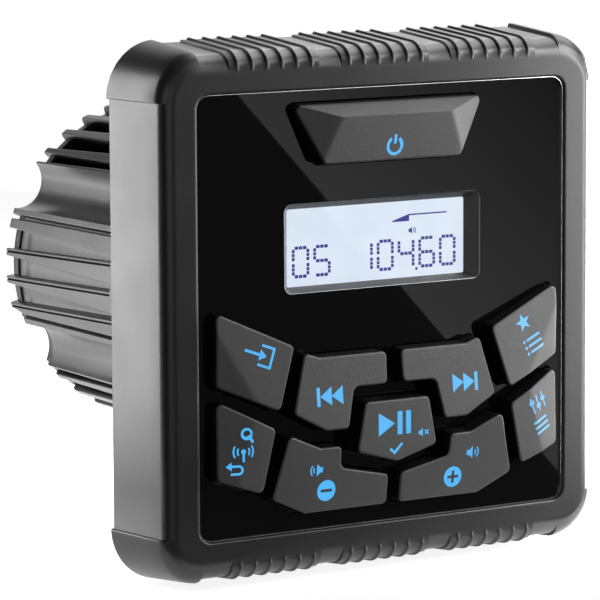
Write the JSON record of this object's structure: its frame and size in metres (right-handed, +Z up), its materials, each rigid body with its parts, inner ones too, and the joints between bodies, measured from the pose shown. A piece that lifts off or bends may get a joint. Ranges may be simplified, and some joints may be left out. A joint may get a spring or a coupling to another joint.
{
  "type": "marine stereo",
  "caption": "Square marine stereo with a ribbed bezel, a recessed display and press keys, on a finned round barrel that passes through a hole in the dashboard.",
  "frame": {"origin": "on the barrel's axis, in the plane where the bezel meets the dashboard", "axes": "+Z up; the face looks along -Y and the barrel runs along +Y"},
  "size_m": [0.105, 0.1003, 0.1058],
  "materials": {
    "bezel_plastic": "fine-grained satin moulding",
    "panel_gloss": "polished black",
    "display_trim": "satin dark grey",
    "window_clear": "clear",
    "lcd_cell": "lit bluish white",
    "backlight_white": "diffuse white",
    "holder_plastic": "moulded",
    "key_plastic": "fine-grained matt moulding",
    "plunger_plastic": "moulded",
    "silicone": "moulded silicone",
    "guide_plastic": "moulded",
    "switch_plastic": "moulded",
    "circuit_board": "green solder mask",
    "chip_black": "moulded",
    "screw_steel": "zinc plated",
    "plate_plastic": "moulded",
    "gasket_rubber": "moulded",
    "barrel_cast": "die cast, black satin coat",
    "bare_aluminium": "milled",
    "capacitor_sleeve": "sleeved",
    "copper_winding": "enamelled wire",
    "tinned_can": "tinned",
    "header_plastic": "moulded",
    "ribbon_grey": "flat cable",
    "cover_coat": "black satin coat",
    "gland_rubber": "moulded",
    "insert_brass": "knurled"
  },
  "bodies": {
    "chassis": {"front_bezel": "bezel_plastic", "face_panel": "panel_gloss", "display_frame": "display_trim", "display_window": "window_clear", "lcd_panel": "lcd_cell", "lcd_backlight": "backlight_white", "lcd_holder": "holder_plastic", "keypad_mat": "silicone", "key_guide": "guide_plastic", "tact_switches": "switch_plastic", "control_board": "circuit_board", "control_chips": "chip_black", "board_screws": "screw_steel", "rear_plate": "plate_plastic", "plate_screws": "screw_steel", "dash_gasket": "gasket_rubber", "barrel_housing": "barrel_cast", "barrel_seal": "gasket_rubber", "barrel_screws": "screw_steel", "amplifier_board": "circuit_board", "amplifier_chip": "chip_black", "heat_spreader": "bare_aluminium", "capacitors": "capacitor_sleeve", "choke": "copper_winding", "tuner_can": "tinned_can", "link_headers": "header_plastic", "ribbon_link": "ribbon_grey", "rear_cover": "cover_coat", "rear_seal": "gasket_rubber", "cover_screws": "screw_steel", "harness_gland": "gland_rubber", "accessory_gland": "gland_rubber", "antenna_socket": "tinned_can", "bracket_inserts": "insert_brass"},
    "power_button": {"power_key": "key_plastic", "power_plunger": "plunger_plastic"},
    "source_button": {"source_key": "key_plastic", "source_plunger": "plunger_plastic"},
    "preset_button": {"preset_key": "key_plastic", "preset_plunger": "plunger_plastic"},
    "band_button": {"band_key": "key_plastic", "band_plunger": "plunger_plastic"},
    "audio_button": {"audio_key": "key_plastic", "audio_plunger": "plunger_plastic"},
    "previous_button": {"previous_key": "key_plastic", "previous_plunger": "plunger_plastic"},
    "next_button": {"next_key": "key_plastic", "next_plunger": "plunger_plastic"},
    "play_button": {"play_key": "key_plastic", "play_plunger": "plunger_plastic"},
    "volume_down_button": {"volume_down_key": "key_plastic", "volume_down_plunger": "plunger_plastic"},
    "volume_up_button": {"volume_up_key": "key_plastic", "volume_up_plunger": "plunger_plastic"}
  },
  "joints": [
    {"name": "power_press", "type": "slide", "parent": "chassis", "child": "power_button", "axis": [0, 1, 0], "range_m": [0, 0.0006], "stiffness_N_per_m": 1500},
    {"name": "source_press", "type": "slide", "parent": "chassis", "child": "source_button", "axis": [0, 1, 0], "range_m": [0, 0.0006], "stiffness_N_per_m": 1500},
    {"name": "preset_press", "type": "slide", "parent": "chassis", "child": "preset_button", "axis": [0, 1, 0], "range_m": [0, 0.0006], "stiffness_N_per_m": 1500},
    {"name": "band_press", "type": "slide", "parent": "chassis", "child": "band_button", "axis": [0, 1, 0], "range_m": [0, 0.0006], "stiffness_N_per_m": 1500},
    {"name": "audio_press", "type": "slide", "parent": "chassis", "child": "audio_button", "axis": [0, 1, 0], "range_m": [0, 0.0006], "stiffness_N_per_m": 1500},
    {"name": "previous_press", "type": "slide", "parent": "chassis", "child": "previous_button", "axis": [0, 1, 0], "range_m": [0, 0.0006], "stiffness_N_per_m": 1500},
    {"name": "next_press", "type": "slide", "parent": "chassis", "child": "next_button", "axis": [0, 1, 0], "range_m": [0, 0.0006], "stiffness_N_per_m": 1500},
    {"name": "play_press", "type": "slide", "parent": "chassis", "child": "play_button", "axis": [0, 1, 0], "range_m": [0, 0.0006], "stiffness_N_per_m": 1500},
    {"name": "volume_down_press", "type": "slide", "parent": "chassis", "child": "volume_down_button", "axis": [0, 1, 0], "range_m": [0, 0.0006], "stiffness_N_per_m": 1500},
    {"name": "volume_up_press", "type": "slide", "parent": "chassis", "child": "volume_up_button", "axis": [0, 1, 0], "range_m": [0, 0.0006], "stiffness_N_per_m": 1500}
  ]
}
